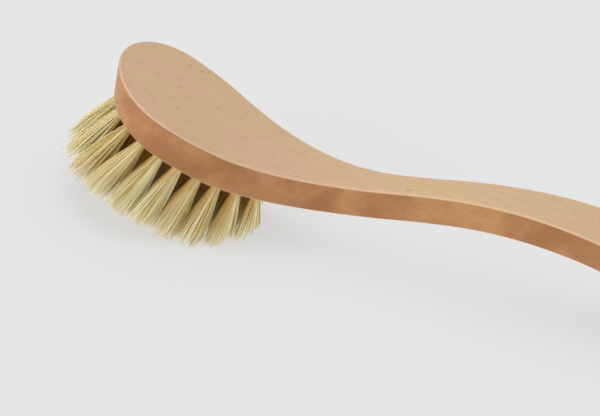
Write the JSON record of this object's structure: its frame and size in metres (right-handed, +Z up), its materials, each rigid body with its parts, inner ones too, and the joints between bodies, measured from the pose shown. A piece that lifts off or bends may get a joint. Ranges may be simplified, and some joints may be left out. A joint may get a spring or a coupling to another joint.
{
  "type": "body dry brush",
  "caption": "Long-handled dry body brush: egg-shaped beech head and curved handle in one board, with fanned tufts of stiff plant fibre set in drilled holes by flat metal anchors",
  "frame": {"origin": "centre of the brush's box in X and Y, on the plane that the heel tufts and the handle's end rest on", "axes": "+X from the tip of the head to the end of the handle, Y across the brush, +Z up, away from the bristles"},
  "size_m": [0.4202, 0.0818, 0.0855],
  "materials": {
    "beech": "fine sanded pale beech, unpainted, satin",
    "plant_fibre": "stiff pale yellow plant fibre, matt",
    "anchor_steel": "flat drawn metal strip, bright"
  },
  "bodies": {
    "root": {"wooden_body": "beech", "tuft_01": "plant_fibre", "tuft_02": "plant_fibre", "tuft_03": "plant_fibre", "tuft_04": "plant_fibre", "tuft_05": "plant_fibre", "tuft_06": "plant_fibre", "tuft_07": "plant_fibre", "tuft_08": "plant_fibre", "tuft_09": "plant_fibre", "tuft_10": "plant_fibre", "tuft_11": "plant_fibre", "tuft_12": "plant_fibre", "tuft_13": "plant_fibre", "tuft_14": "plant_fibre", "tuft_15": "plant_fibre", "tuft_16": "plant_fibre", "tuft_17": "plant_fibre", "tuft_18": "plant_fibre", "tuft_19": "plant_fibre", "tuft_20": "plant_fibre", "tuft_21": "plant_fibre", "tuft_22": "plant_fibre", "tuft_23": "plant_fibre", "tuft_24": "plant_fibre", "tuft_25": "plant_fibre", "tuft_26": "plant_fibre", "tuft_27": "plant_fibre", "tuft_28": "plant_fibre", "tuft_29": "plant_fibre", "tuft_30": "plant_fibre", "tuft_31": "plant_fibre", "tuft_32": "plant_fibre", "tuft_33": "plant_fibre", "tuft_34": "plant_fibre", "tuft_35": "plant_fibre", "tuft_36": "plant_fibre", "tuft_37": "plant_fibre", "tuft_38": "plant_fibre", "anchor_01": "anchor_steel", "anchor_02": "anchor_steel", "anchor_03": "anchor_steel", "anchor_04": "anchor_steel", "anchor_05": "anchor_steel", "anchor_06": "anchor_steel", "anchor_07": "anchor_steel", "anchor_08": "anchor_steel", "anchor_09": "anchor_steel", "anchor_10": "anchor_steel", "anchor_11": "anchor_steel", "anchor_12": "anchor_steel", "anchor_13": "anchor_steel", "anchor_14": "anchor_steel", "anchor_15": "anchor_steel", "anchor_16": "anchor_steel", "anchor_17": "anchor_steel", "anchor_18": "anchor_steel", "anchor_19": "anchor_steel", "anchor_20": "anchor_steel", "anchor_21": "anchor_steel"}
  },
  "joints": []
}
